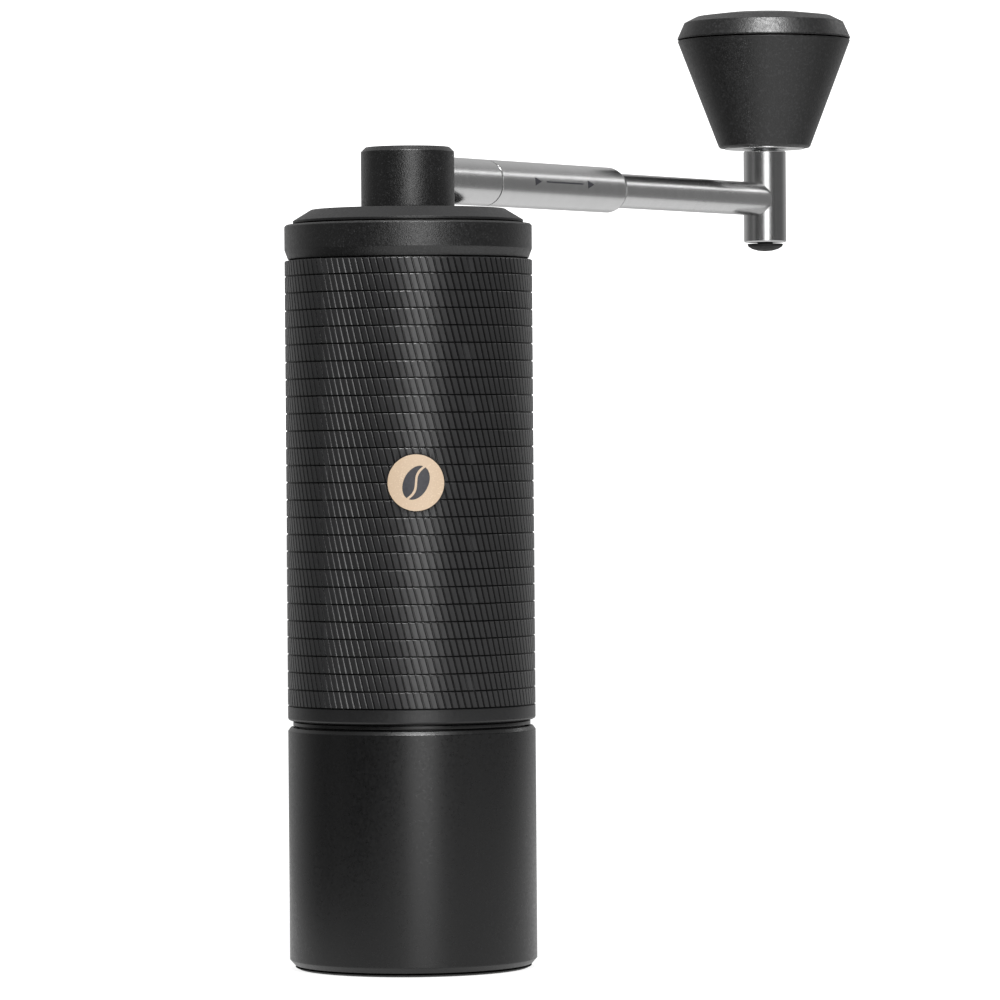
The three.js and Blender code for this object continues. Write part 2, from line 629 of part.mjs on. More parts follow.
function knobSpindle() {
  const blank = turned([
    [0, SPINDLE.bottom], [SPINDLE.r, SPINDLE.bottom], [SPINDLE.r, SPINDLE.head],
    [SPINDLE.headR, SPINDLE.head], [SPINDLE.headR, SPINDLE.top], [0, SPINDLE.top],
  ]);
  return atPost(blank.subtract(hexagon(SPINDLE.keyFlat, SPINDLE.head, SPINDLE.top + OVER)));
}

// ---------------------------------------------------------------- knob

function knobBody() {
  return atPost(turned([
    [KNOB.plateRecessR, KNOB.bottom], [KNOB.bottomR - KNOB.edge, KNOB.bottom],
    [KNOB.bottomR, KNOB.bottom + KNOB.edge], [KNOB.seamR, KNOB.seam], [KNOB.hollowR, KNOB.seam],
    [KNOB.hollowR, KNOB.hollowBend], [KNOB.hollowFootR, KNOB.hollowFoot],
    [KNOB.bossR, KNOB.hollowFoot], [KNOB.bossR, KNOB.boreTop],
    [KNOB.boreR, KNOB.boreTop], [KNOB.boreR, KNOB.ribTop], [KNOB.ribR, KNOB.ribTop],
    [KNOB.ribR, KNOB.ribBottom], [KNOB.boreR, KNOB.ribBottom], [KNOB.boreR, KNOB.plateRecess],
    [KNOB.plateRecessR, KNOB.plateRecess],
  ], MEDIUM));
}

function knobCap() {
  return atPost(turned([
    [0, CAP.hollowTop], [CAP.hollowR, CAP.hollowTop], [CAP.hollowR, CAP.plugBottom],
    [CAP.plugR, CAP.plugBottom], [CAP.plugR, CAP.bottom],
    [KNOB.seamR, CAP.bottom], [KNOB.seamR, CAP.side], [CAP.bevelR, CAP.bevelTop],
    [CAP.shoulderR, CAP.shoulder], [CAP.crownR, CAP.crown], [0, CAP.top],
  ], MEDIUM));
}

const knobPlate = () => atPost(ring(PLATE.boreR, PLATE.r, PLATE.bottom, PLATE.top));

const knobBush = (bottom, top) => atPost(ring(BUSH.boreR, BUSH.r, bottom + GAP, top - GAP));

// ---------------------------------------------------------------- the assembly

add('base_pad', basePad(), BLACK_RUBBER);
add('catch_cup', catchCup(), BLACK_ANODISED);

add('thread_collar', threadCollar(), BLACK_ANODISED);
add('outer_shell', outerShell(), BLACK_ANODISED);
add('badge', badge(), GOLD_SATIN);
add('top_collar', topCollar(), BLACK_BLASTED);
add('hopper_liner', hopperLiner(), TOOL_STEEL);
add('burr_carrier', burrCarrier(), TOOL_STEEL);
add('outer_burr', outerBurr(), TOOL_STEEL);
add('upper_bridge', upperBridge(), TOOL_STEEL);
eachSetScrew((turn) => setScrewAxis(SET_SCREW.r, SET_SCREW.inner, SET_SCREW.outer, turn))
  .forEach((screw, i) => add(`bridge_screw_${i + 1}`, screw, TOOL_STEEL));
addBearing('upper_bearing', BRIDGE.bottom);
addBearing('lower_bearing', CARRIER.spokeBottom);

add('drive_shaft', driveShaft(), BRUSHED_STEEL);
add('shaft_sleeve', shaftSleeve(), BRUSHED_STEEL);
add('shaft_snap_ring', shaftSnapRing(), TOOL_STEEL);
add('burr_spring', burrSpring(), BRUSHED_STEEL);
add('inner_burr', innerBurr(), TOOL_STEEL);
add('click_plate', clickPlate(), BRASS);
add('adjuster_dial', adjusterDial(), BLACK_ANODISED);
add('detent_ball_1', detentBall(1), BRUSHED_STEEL);
add('detent_ball_2', detentBall(-1), BRUSHED_STEEL);

add('lid', lid(), BLACK_BLASTED);
add('lid_gasket', lidGasket(), BLACK_RUBBER);
add('lid_bush', lidBush(), WHITE_PLASTIC);
add('crank_hub', crankHub(), BLACK_BLASTED);
add('drive_socket', driveSocket(), BRUSHED_STEEL);
add('lid_retaining_ring', lidRetainingRing(), TOOL_STEEL);

add('crank_stub', crankStub(), BRUSHED_STEEL, arm);
add('hinge_pin', hingePin(), TOOL_STEEL, arm);
add('crank_rod', crankRod(), BRUSHED_STEEL, arm);
add('pull_sleeve', pullSleeve(), BRUSHED_STEEL, arm);
add('sleeve_bush', sleeveBush(), BRASS, arm);
add('sleeve_spring', sleeveSpring(), BRUSHED_STEEL, arm);
add('end_post', endPost(), BRUSHED_STEEL, arm);
add('post_bumper', postBumper(), BLACK_RUBBER, arm);
add('knob_spindle', knobSpindle(), TOOL_STEEL, arm);

add('knob_body', knobBody(), BLACK_PLASTIC, arm);
add('knob_cap', knobCap(), BLACK_PLASTIC, arm);
add('knob_plate', knobPlate(), BRUSHED_STEEL, arm);
add('knob_bush_lower', knobBush(KNOB.plateRecess, KNOB.ribBottom), WHITE_PLASTIC, arm);
add('knob_bush_upper', knobBush(KNOB.ribTop, KNOB.boreTop), WHITE_PLASTIC, arm);

export default model;
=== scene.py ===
"""Looks of the hand crank coffee grinder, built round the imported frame. Metres, +Z up."""

import itertools
import json
import math

import bmesh
import bpy
import numpy as np
from mathutils import Matrix, Vector


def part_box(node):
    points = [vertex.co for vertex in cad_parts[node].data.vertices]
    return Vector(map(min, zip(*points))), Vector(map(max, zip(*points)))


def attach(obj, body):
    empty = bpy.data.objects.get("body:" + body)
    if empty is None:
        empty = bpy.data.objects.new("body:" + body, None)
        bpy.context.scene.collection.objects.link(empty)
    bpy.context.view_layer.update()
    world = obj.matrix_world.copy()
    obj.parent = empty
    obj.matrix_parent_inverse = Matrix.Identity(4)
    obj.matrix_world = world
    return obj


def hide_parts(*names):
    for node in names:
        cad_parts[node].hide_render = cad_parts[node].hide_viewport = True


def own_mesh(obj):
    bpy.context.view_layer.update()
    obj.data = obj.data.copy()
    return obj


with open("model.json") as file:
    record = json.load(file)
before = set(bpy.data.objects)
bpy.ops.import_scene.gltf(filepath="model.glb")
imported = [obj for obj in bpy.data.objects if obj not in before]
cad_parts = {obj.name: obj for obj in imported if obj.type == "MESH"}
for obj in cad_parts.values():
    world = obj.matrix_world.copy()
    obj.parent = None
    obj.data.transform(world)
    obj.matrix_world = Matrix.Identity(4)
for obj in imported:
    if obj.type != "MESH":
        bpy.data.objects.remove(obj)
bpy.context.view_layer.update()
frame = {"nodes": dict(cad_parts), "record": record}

MM = 0.001

# ------------------------------------------------------------------ places, from the frame

MATERIAL_OF = {part["node"]: part["material_slot"] for part in frame["record"]["subparts"]}
BODY_OF = {
    node: body
    for body, nodes in frame["record"]["behaviour"]["bodies"].items()
    for node in nodes
}
JOINTS = {joint["name"]: joint for joint in frame["record"]["behaviour"]["joints"]}
ARM_PIVOT = Vector(JOINTS["arm_fold"]["pos_m"])
ARM_DIRECTION = Vector(JOINTS["sleeve_pull"]["axis"]).normalized()
ARM_HEIGHT = ARM_PIVOT.z
PIVOT_REACH = ARM_PIVOT.dot(ARM_DIRECTION)
POST_FOOT = Vector(JOINTS["knob_spin"]["pos_m"])
BARREL_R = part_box("outer_shell")[1].x
SHELL_LOW, SHELL_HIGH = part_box("outer_shell")[0].z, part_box("outer_shell")[1].z
BADGE_LOW, BADGE_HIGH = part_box("badge")
BADGE_R = (BADGE_HIGH.z - BADGE_LOW.z) / 2
BADGE_Z = (BADGE_HIGH.z + BADGE_LOW.z) / 2

BODY_AXIS = Matrix.Identity(4)
POST_AXIS = Matrix.Translation(POST_FOOT)
ARM_SIDE = Vector((0, 0, 1)).cross(ARM_DIRECTION)
ARM_AXIS = Matrix((ARM_SIDE, (0, 0, 1), ARM_DIRECTION)).transposed().to_4x4()
ARM_AXIS.translation = (0, 0, ARM_HEIGHT)
PIN_AXIS = Matrix(((0, 0, 1), ARM_DIRECTION, ARM_SIDE)).transposed().to_4x4()
PIN_AXIS.translation = ARM_PIVOT

# ------------------------------------------------------------------ sizes

FINE, SMALL, TINY = 256, 128, 48  # facets round turned pieces
ON_AXIS = 5e-6  # points nearer than this lie on the axis
SAME_HEIGHT = 1e-5
SAME_POINT = 1e-8
SAME_ANGLE = 1e-3  # radians between points of one meridian
MERIDIANS = 100  # told apart in a radian
DECIMALS = 5  # outlines are read to a hundredth of a millimetre
SAME_PLANE = math.radians(0.4)  # faces of the CAD that meet at less are one flat face

SHELL = {"bore": 24.6 * MM, "edge": 0.5 * MM}
KNURL = {
    "pads": 110,  # round the barrel
    "rows": 26,  # up the barrel
    "first": 56.38 * MM,  # height of the lowest ring groove
    "pitch": 3.664 * MM,  # from one ring groove to the next
    "slant": 0.261,  # sideways for each step upward
    "bevel": 0.093,  # share of a pad's width where the bevel ends
    "bevel_depth": 0.35,  # share of the depth there
    "lit_flank": 0.185,  # share of the width where the flank after it ends
    "groove": 0.34,  # share of the width where the groove ends
    "steep_flank": 0.05,  # share of the width that the flank back up takes
    "depth": 0.20 * MM,
    "slot": 0.20 * MM,  # width of a ring groove
    "slot_depth": 0.26 * MM,
    "slot_lip": 0.04 * MM,  # height of the row's lower edge above a ring groove
    "round_off": 0.24 * MM,  # below a ring groove the row starts to slope inward,
    "round_height": 0.09 * MM,  # and here it is this deep:
    "round_depth": 0.064 * MM,
    "round_shine": 0.5,  # against 1 for the cut flanks
    "plain_end": 0.12 * MM,  # of the smooth band, below the lowest ring groove
}

BADGE = {
    "gap": 0.12 * MM,  # between the badge and its recess
    "recess": 0.9 * MM,
    "trim": 0.05 * MM,
    "depth": 0.8 * MM,
    "proud": 0.02 * MM,
    "engraved": 0.6 * MM,
    "inlay": (0.5 * MM, 0.06 * MM),  # depths of the inlay's back and face
}
BEAN = {
    "long_r": 3.8 * MM, "wide_r": 2.6 * MM, "tilt": math.radians(-28),
    "gap": 0.26 * MM,  # half the width of the crease
    "sway": 0.55 * MM,
    "crease": (0.04, 0.96),  # the part of the bean's length that the crease runs along
}

TUBE_R, ROD_R, NECK_R, HEAD_R, POST_R = 5.1 * MM, 3.9 * MM, 2.9 * MM, 4.05 * MM, 5.0 * MM
HEAD_END, SHOULDER, SLOT_END = 45.5 * MM, 78 * MM, 42.6 * MM  # along the arm from the hub's axis
TONGUE_HALF_HEIGHT, TONGUE_HALF_WIDTH, SLOT_HALF_WIDTH = 2.4 * MM, 1.4 * MM, 1.7 * MM
PIN_HOLE_R = 1.4 * MM
SEAM_GAP = 0.3 * MM  # between the stub and the locking tube
CRANK_EDGE = 0.2 * MM
FIT = 0.03 * MM  # where a piece is cut round another
TOOL_REACH = 20 * MM

MARK = {"facing": math.radians(173), "proud": 0.012 * MM, "sunk": 0.3 * MM}
ARROW = {"starts": (42.6 * MM, 64.2 * MM), "half": 0.95 * MM, "length": 2.6 * MM, "tip": 0.02 * MM}
LINE = {"span": (47.2 * MM, 62.2 * MM), "half": 0.17 * MM, "steps": 4}

SLEEVE_SPRING = {"mean_r": 3.55 * MM, "wire_r": 0.3 * MM, "turns": 6}
BURR_SPRING = {"mean_r": 4.2 * MM, "wire_r": 0.45 * MM, "turns": 3}
BURR_RISE = 0.4 * MM  # room under the burr spring for the cone burr, which rises this far

# ------------------------------------------------------------------ mesh helpers


def new_object(name, vertices, faces, place=BODY_AXIS):
    mesh = bpy.data.meshes.new(name)
    mesh.from_pydata([tuple(v) for v in vertices], [], faces)
    mesh.update()
    piece = bpy.data.objects.new(name, mesh)
    bpy.context.scene.collection.objects.link(piece)
    piece.matrix_world = place
    return piece


def shade(piece, angle=35):
    """Smooth shading, broken where faces meet at more than angle degrees."""
    piece.data.shade_smooth()
    piece.data.set_sharp_from_angle(angle=math.radians(angle))


def outward(piece):
    """Turns a closed mesh's faces outward."""
    bm = bmesh.new()
    bm.from_mesh(piece.data)
    bmesh.ops.remove_doubles(bm, verts=bm.verts, dist=SAME_POINT)
    bmesh.ops.recalc_face_normals(bm, faces=bm.faces)
    bm.to_mesh(piece.data)
    bm.free()


def arc(r, start, end, points, centre=0.0):
    """Points along an arc of a flat outline whose middle lies centre along its first axis."""
    return [(centre + r * math.cos(a), r * math.sin(a)) for a in np.linspace(start, end, points)]


def prism(name, near, far, place=BODY_AXIS):
    """A closed prism between two outlines with the same number of points."""
    count = len(near)
    faces = [tuple(range(count)), tuple(range(count, 2 * count))]
    faces += [(i, (i + 1) % count, count + (i + 1) % count, count + i) for i in range(count)]
    piece = new_object(name, [*near, *far], faces, place)
    outward(piece)
    return piece


def outlines_of(node, place):
    """A turned CAD node's closed outlines as (radius, height) points, read along its cleanest meridian."""
    mesh = frame["nodes"][node].data
    to_local = place.inverted()
    points = [to_local @ v.co for v in mesh.vertices]
    polar = [(math.hypot(p.x, p.y), math.atan2(p.y, p.x), p.z) for p in points]
    columns = {}
    for edge in mesh.edges:
        ends = [polar[i] for i in edge.vertices]
        angles = [angle for r, angle, _ in ends if r > ON_AXIS]
        if not angles or max(angles) - min(angles) > SAME_ANGLE:
            continue
        a, b = sorted((round(r, DECIMALS), round(z, DECIMALS)) for r, _, z in ends)
        if a != b:
            columns.setdefault(round(angles[0] * MERIDIANS), set()).add((a, b))

    def completeness(segments):
        """The longest meridian is the best one, and of equals the one with the fewest segments."""
        return round(sum(math.dist(a, b) for a, b in segments), 4), -len(segments)

    return chained(max(columns.values(), key=completeness))


def chained(segments):
    """Joins an outline's segments end to end. Flat rings leave gaps, which close between equal heights."""
    near = {}
    for a, b in segments:
        near.setdefault(a, set()).add(b)
        near.setdefault(b, set()).add(a)
    loose = sorted((p for p in near if len(near[p]) == 1), key=lambda p: (p[1], p[0]))
    for p, q in zip(loose, loose[1:]):
        if abs(p[1] - q[1]) < SAME_HEIGHT and len(near[p]) == 1:
            near[p].add(q)
            near[q].add(p)
    for p in loose:
        if len(near[p]) == 1 and p[0] > ON_AXIS:
            near[p].add((0.0, p[1]))
            near.setdefault((0.0, p[1]), set()).add(p)
    loops, seen = [], set()
    for start in sorted(near, key=lambda p: (p[0] > ON_AXIS, p[1], p[0])):
        if start in seen:
            continue
        chain = [start]
        seen.add(start)
        while onward := [p for p in near[chain[-1]] if p not in seen]:
            chain.append(onward[0])
            seen.add(onward[0])
        loops.append(chain)
    return loops


def is_closed(outline):
    """Whether an outline goes round a ring. Any other starts and ends on the axis."""
    return outline[0][0] > ON_AXIS or outline[-1][0] > ON_AXIS


def rounded(outline, fillet, steps=4, least=25, most_of_side=0.45):
    """Rounds each corner of an outline that turns more than least degrees."""
    closed = is_closed(outline)
    result = []
    count = len(outline)
    for i, corner in enumerate(outline):
        if not closed and i in (0, count - 1):
            result.append(corner)
            continue
        here = Vector(corner)
        before, after = Vector(outline[i - 1]), Vector(outline[(i + 1) % count])
        a, b = before - here, after - here
        turn = math.pi - a.angle(b)
        if turn < math.radians(least) or corner[0] < ON_AXIS:
            result.append(corner)
            continue
        reach = min(fillet * math.tan(turn / 2), a.length * most_of_side, b.length * most_of_side)
        start, end = here + a.normalized() * reach, here + b.normalized() * reach
        for k in range(steps + 1):
            t = k / steps
            result.append(tuple((1 - t) ** 2 * start + 2 * t * (1 - t) * here + t * t * end))
    return result


def held(outline, closed, near=0.15 * MM):
    """Adds points just inside the ends of long straight stretches: smooth shading stays at the corners."""
    result = []
    following = outline[1:] + (outline[:1] if closed else [])
    for here, onward in zip(outline, following):
        result.append(here)
        length = math.dist(here, onward)
        if length > 4 * near and max(here[0], onward[0]) > ON_AXIS:
            for t in (near / length, 1 - near / length):
                result.append(tuple(a + (b - a) * t for a, b in zip(here, onward)))
    return result if closed else [*result, outline[-1]]


def turned(name, outline, place=BODY_AXIS, facets=FINE):
    """A closed turned solid round the local Z axis, from its (radius, height) outline."""
    closed = is_closed(outline)
    outline = held(outline, closed)
    vertices, rings = [], []
    for r, z in outline:
        start = len(vertices)
        sides = facets if r > ON_AXIS else 1
        for k in range(sides):
            angle = 2 * math.pi * k / facets
            vertices.append((r * math.cos(angle), r * math.sin(angle), z))
        rings.append((start, sides))
    faces = []
    pairs = list(zip(rings, rings[1:]))
    if closed:
        pairs.append((rings[-1], rings[0]))
    for (a, many_a), (b, many_b) in pairs:
        for k in range(facets):
            m = (k + 1) % facets
            quad = [a + k % many_a, a + m % many_a, b + m % many_b, b + k % many_b]
            corners = list(dict.fromkeys(quad))
            if len(corners) > 2:
                faces.append(corners)
    piece = new_object(name, vertices, faces, place)
    outward(piece)
    shade(piece)
    return piece


def fine_copy(node, body, material, place, fillet, facets):
    """The turned CAD node again, with more facets and with its edges rounded by fillet millimetres."""
    for i, outline in enumerate(outlines_of(node, place)):
        piece = turned(f"{node}_turned_{i + 1}", rounded(outline, fillet * MM), place, facets)
        dress(piece, body, material, node)


def level(v):
    """A vertex's place across the axis."""
    return Vector((v.co.x, v.co.y, 0))


def faces_axis(face, least_level=0.05, least_radius=0.1 * MM, straight=0.985):
    """Whether a face looks straight away from the axis, as the facets of a turned side do."""
    middle = face.calc_center_median()
    flat, out = Vector((face.normal.x, face.normal.y)), Vector((middle.x, middle.y))
    if flat.length <= least_level or out.length <= least_radius:
        return False
    return abs(flat.normalized().dot(out.normalized())) > straight


def is_arc(edge, radius, least_r=0.3 * MM, same_r=0.002 * MM, turns=(1, 24), upright=0.999):
    """Whether an edge is a chord of a circle round the axis. Radius is the layer of the vertices' radii."""
    a, b = edge.verts
    if min(a[radius], b[radius]) < least_r or len(edge.link_faces) != 2:
        return False
    turn = math.degrees(level(a).angle(level(b)))
    if not turns[0] < turn < turns[1]:
        return False
    if abs(a[radius] - b[radius]) < same_r:
        return any(abs(face.normal.z) < upright for face in edge.link_faces)
    return all(faces_axis(face) for face in edge.link_faces)


def rounder(node, body, place=BODY_AXIS, cuts=3, furthest=1.05):
    """The CAD node with its facets round the axis split and pushed out to the circle. Flats stay flat."""
    piece = new_object(f"{node}_round", [], [], place)
    bm = bmesh.new()
    bm.from_mesh(frame["nodes"][node].data)
    bm.transform(place.inverted())
    bmesh.ops.remove_doubles(bm, verts=bm.verts, dist=10 * SAME_POINT)
    bmesh.ops.dissolve_limit(bm, angle_limit=SAME_PLANE, verts=bm.verts, edges=bm.edges)
    radius = bm.verts.layers.float.new("radius")
    for v in bm.verts:
        v[radius] = level(v).length
    bm.normal_update()
    arcs = [edge for edge in bm.edges if is_arc(edge, radius)]
    old = set(bm.verts)
    bmesh.ops.subdivide_edges(bm, edges=arcs, cuts=cuts, use_grid_fill=True)
    for v in bm.verts:
        if v not in old and v[radius] > 0:
            scale = v[radius] / level(v).length
            if 1 < scale < furthest:
                v.co.x, v.co.y = v.co.x * scale, v.co.y * scale
    bmesh.ops.recalc_face_normals(bm, faces=bm.faces)
    bm.to_mesh(piece.data)
    bm.free()
    shade(piece, 30)
    return dress(piece, body, MATERIAL_OF[node], node)


def spring(name, body, place, low, high, mean_r, wire_r, turns):
    """A coil round the local Z axis whose first and last turns lie flat."""
    steps, sides = 40, 12  # in a turn, and round the wire
    flat_rise = 2.2 * wire_r
    pitch = (high - low - 2 * wire_r - 2 * flat_rise) / turns
    count = round((turns + 2) * steps)
    vertices = []
    for i in range(count + 1):
        turn = i / steps
        flat_turns = min(turn, 1) + max(turn - 1 - turns, 0)
        open_turns = min(max(turn - 1, 0), turns)
        z = low + wire_r + flat_turns * flat_rise + open_turns * pitch
        angle = 2 * math.pi * turn
        for k in range(sides):
            round_wire = 2 * math.pi * k / sides
            r = mean_r + wire_r * math.cos(round_wire)
            vertices.append((r * math.cos(angle), r * math.sin(angle), z + wire_r * math.sin(round_wire)))
    faces = [tuple(range(sides)), tuple(range(count * sides, (count + 1) * sides))]
    for i in range(count):
        for k in range(sides):
            m = (k + 1) % sides
            faces.append((i * sides + k, i * sides + m, (i + 1) * sides + m, (i + 1) * sides + k))
    piece = new_object(f"{name}_coil", vertices, faces, place)
    outward(piece)
    shade(piece)
    return dress(piece, body, "machined_steel", name)


def dress(piece, body, material, *nodes):
    """Gives a piece its material and body, and hides the CAD nodes that it replaces."""
    piece.data.materials.clear()
    piece.data.materials.append(MATERIALS[material])
    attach(piece, body)
    if nodes:
        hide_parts(*nodes)
    return piece


def cut(piece, tool, operation="DIFFERENCE"):
    """Cuts tool out of piece, and drops the tool."""
    modifier = piece.modifiers.new("cut", "BOOLEAN")
    modifier.operation = operation
    modifier.solver = "EXACT"
    modifier.object = tool
    bpy.context.view_layer.update()
    evaluated = piece.evaluated_get(bpy.context.evaluated_depsgraph_get())
    result = bpy.data.meshes.new_from_object(evaluated)
    piece.modifiers.remove(modifier)
    piece.data = result
    bpy.data.objects.remove(tool)
    shade(piece)


# ------------------------------------------------------------------ materials

MIDDLE = (0.3, 0.7)  # where most of a noise's values lie
BLACK = (0.004, 0.004, 0.0042)
BLACK_SPECK = (0.006, 0.006, 0.0065)
# the knob's light grain specks, and the knurl's painted edge highlight
GRAIN_AND_EDGE_HIGHLIGHT_BLACK = (0.03, 0.03, 0.031)


def around(value, spread):
    return value - spread, value + spread


class Graph:
    """A Principled material and short calls for the nodes that feed it."""

    def __init__(self, name, color, roughness, metallic=0.0, **sockets):
        self.material = bpy.data.materials.new(name)
        self.material.use_nodes = True
        self.tree = self.material.node_tree
        self.shader = self.tree.nodes["Principled BSDF"]
        self.set("Base Color", (*color, 1.0))
        self.set("Roughness", roughness)
        self.set("Metallic", metallic)
        for socket, value in sockets.items():
            self.set(socket.replace("_", " "), value)
        self.place = self.tree.nodes.new("ShaderNodeTexCoord").outputs["Object"]

    def set(self, socket, value):
        self.shader.inputs[socket].default_value = value

    def link(self, output, socket):
        self.tree.links.new(output, socket)

    def feed(self, socket, output):
        self.link(output, self.shader.inputs[socket])

    def noise(self, per_metre, detail=2.0, stretch=(1, 1, 1)):
        mapping = self.tree.nodes.new("ShaderNodeMapping")
        mapping.inputs["Scale"].default_value = stretch
        self.link(self.place, mapping.inputs["Vector"])
        node = self.tree.nodes.new("ShaderNodeTexNoise")
        node.inputs["Scale"].default_value = per_metre
        node.inputs["Detail"].default_value = detail
        self.link(mapping.outputs["Vector"], node.inputs["Vector"])
        return node.outputs["Fac"]

    def attribute(self, name):
        node = self.tree.nodes.new("ShaderNodeAttribute")
        node.attribute_name = name
        return node.outputs["Fac"]

    def remap(self, value, span, to=(0.0, 1.0)):
        """Spreads the part of a value that lies in span over to, and holds it there beyond."""
        node = self.tree.nodes.new("ShaderNodeMapRange")
        for socket, number in zip(("From Min", "From Max", "To Min", "To Max"), (*span, *to)):
            node.inputs[socket].default_value = number
        self.link(value, node.inputs["Value"])
        return node.outputs["Result"]

    def blend(self, factor, first, second):
        """From one colour to another."""
        node = self.tree.nodes.new("ShaderNodeMix")
        node.data_type = "RGBA"
        node.inputs["A"].default_value = (*first, 1.0)
        node.inputs["B"].default_value = (*second, 1.0)
        self.link(factor, node.inputs["Factor"])
        return node.outputs["Result"]

    def mix(self, factor, first, second):
        """From an output to a number."""
        node = self.tree.nodes.new("ShaderNodeMix")
        self.link(factor, node.inputs["Factor"])
        self.link(first, node.inputs["A"])
        node.inputs["B"].default_value = second
        return node.outputs["Result"]

    def bump(self, height, strength, distance):
        node = self.tree.nodes.new("ShaderNodeBump")
        node.inputs["Strength"].default_value = strength
        node.inputs["Distance"].default_value = distance
        self.link(height, node.inputs["Height"])
        self.feed("Normal", node.outputs["Normal"])


def blasted(name, dark, light, roughness, grain, bump, gloss, depth=0.02 * MM):
    """Bead-blasted and anodised: fine grain, a few brighter specks and uneven roughness."""
    g = Graph(name, dark, roughness, Specular_IOR_Level=gloss)
    speck = g.remap(g.noise(grain * 0.8, 1.0), (0.58, 0.78))
    g.feed("Base Color", g.blend(speck, dark, light))
    g.feed("Roughness", g.remap(g.noise(grain * 0.35, 3.0), MIDDLE, around(roughness, 0.06)))
    g.bump(g.noise(grain, 2.0), bump, depth)
    return g.material


def anodised_knurl(name):
    """Black anodised: pads dull and cut flanks shiny. Raised edges are painted a little lighter as a
    painted highlight, and the grooves get painted shade from a lower gloss.
    """
    flank_gloss, flank_roughness = 1.0, 0.24
    g = Graph(name, BLACK, 0.34, Specular_IOR_Level=0.55)
    pointed = g.tree.nodes.new("ShaderNodeNewGeometry").outputs["Pointiness"]
    # painted highlight: the colour lightens on raised, pointed edges
    g.feed("Base Color", g.blend(g.remap(pointed, (0.52, 0.6)), BLACK, GRAIN_AND_EDGE_HIGHLIGHT_BLACK))
    shine = g.attribute("shine")
    # painted shade: the gloss falls almost to nothing in the grooves' hollow corners; raised edges get more
    # gloss, a painted sheen
    groove_shade_gloss = g.remap(pointed, (0.44, 0.56), (0.04, 0.64))
    g.feed("Specular IOR Level", g.mix(shine, groove_shade_gloss, flank_gloss))
    dull_roughness = g.remap(g.noise(1800, 3.0), MIDDLE, (0.32, 0.42))
    g.feed("Roughness", g.mix(shine, dull_roughness, flank_roughness))
    g.bump(g.noise(3800, 2.0), 0.7, 0.03 * MM)
    return g.material


def brushed(name, color, roughness, anisotropy=0.75, grain=1400, bump=0.03):
    """Turned metal: fine rings round the local Z axis, with a few cloudy patches from handling."""
    g = Graph(name, color, roughness, 1.0, Anisotropic=anisotropy)
    tangent = g.tree.nodes.new("ShaderNodeTangent")
    tangent.direction_type = "RADIAL"
    tangent.axis = "Z"
    g.feed("Tangent", tangent.outputs["Tangent"])
    cloud = g.remap(g.noise(160, 4.0, (1, 1, 3)), (0.25, 0.75))
    g.feed("Base Color", g.blend(cloud, tuple(c * 0.93 for c in color), color))
    rings = g.noise(grain, 2.0, (0.3, 0.3, 6))
    g.feed("Roughness", g.remap(rings, MIDDLE, around(roughness, 0.02)))
    g.bump(rings, bump, 0.01 * MM)
    return g.material


def moulded(name, dark, light, roughness, grain, bump, gloss=0.5):
    """Rubber or plastic with a fine spark-eroded grain."""
    g = Graph(name, dark, roughness, Specular_IOR_Level=gloss)
    g.feed("Base Color", g.blend(g.remap(g.noise(grain * 0.6, 2.0), (0.5, 0.75)), dark, light))
    uneven = (roughness - 0.05, roughness + 0.08)
    g.feed("Roughness", g.remap(g.noise(grain * 0.4, 2.0), MIDDLE, uneven))
    g.bump(g.noise(grain, 3.0), bump, 0.05 * MM)
    return g.material


SATIN = {"roughness": 0.32, "grain": 4200, "bump": 0.4, "gloss": 0.55}
MATERIALS = {
    "satin_black": blasted("satin_black", BLACK, BLACK_SPECK, **SATIN),
    "coated_steel": blasted("coated_steel", BLACK, BLACK_SPECK, **SATIN),
    "knurled_black": anodised_knurl("knurled_black"),
    "blasted_black": blasted(
        "blasted_black", BLACK, (0.04, 0.04, 0.041), 0.38,
        grain=3600, bump=1.0, gloss=0.95, depth=0.06 * MM,
    ),
    "lid_grey": blasted(
        "lid_grey", (0.01, 0.01, 0.0105), (0.02, 0.02, 0.021), 0.48, grain=4200, bump=0.5, gloss=0.6,
    ),
    "brushed_steel": brushed("brushed_steel", (0.66, 0.66, 0.66), 0.22),
    "machined_steel": brushed("machined_steel", (0.56, 0.57, 0.58), 0.26, anisotropy=0.6, grain=1500),
    "burr_steel": brushed("burr_steel", (0.4, 0.4, 0.42), 0.34, anisotropy=0.3, grain=2400, bump=0.4),
    "liner_aluminium": brushed("liner_aluminium", (0.55, 0.55, 0.57), 0.33, anisotropy=0.5, grain=1200),
    "brass": brushed("brass", (0.62, 0.43, 0.19), 0.3, anisotropy=0.5, grain=1500),
    "gold_satin": blasted(
        "gold_satin", (0.66, 0.5, 0.35), (0.8, 0.64, 0.48), 0.42, grain=4200, bump=0.6, gloss=0.7,
    ),
    "black_rubber": moulded(
        "black_rubber", (0.008, 0.008, 0.008), (0.014, 0.014, 0.014), 0.62, grain=3200, bump=0.25,
    ),
    "knob_black": moulded(
        "knob_black", (0.005, 0.005, 0.0052), GRAIN_AND_EDGE_HIGHLIGHT_BLACK, 0.4, grain=3000, bump=1.0, gloss=0.85,
    ),
    "bush_plastic": moulded(
        "bush_plastic", (0.62, 0.6, 0.54), (0.7, 0.68, 0.62), 0.5, grain=1500, bump=0.1,
    ),
    "enamel": moulded("enamel", (0.035, 0.035, 0.042), (0.05, 0.05, 0.06), 0.4, grain=2500, bump=0.1),
}

# ------------------------------------------------------------------ barrel


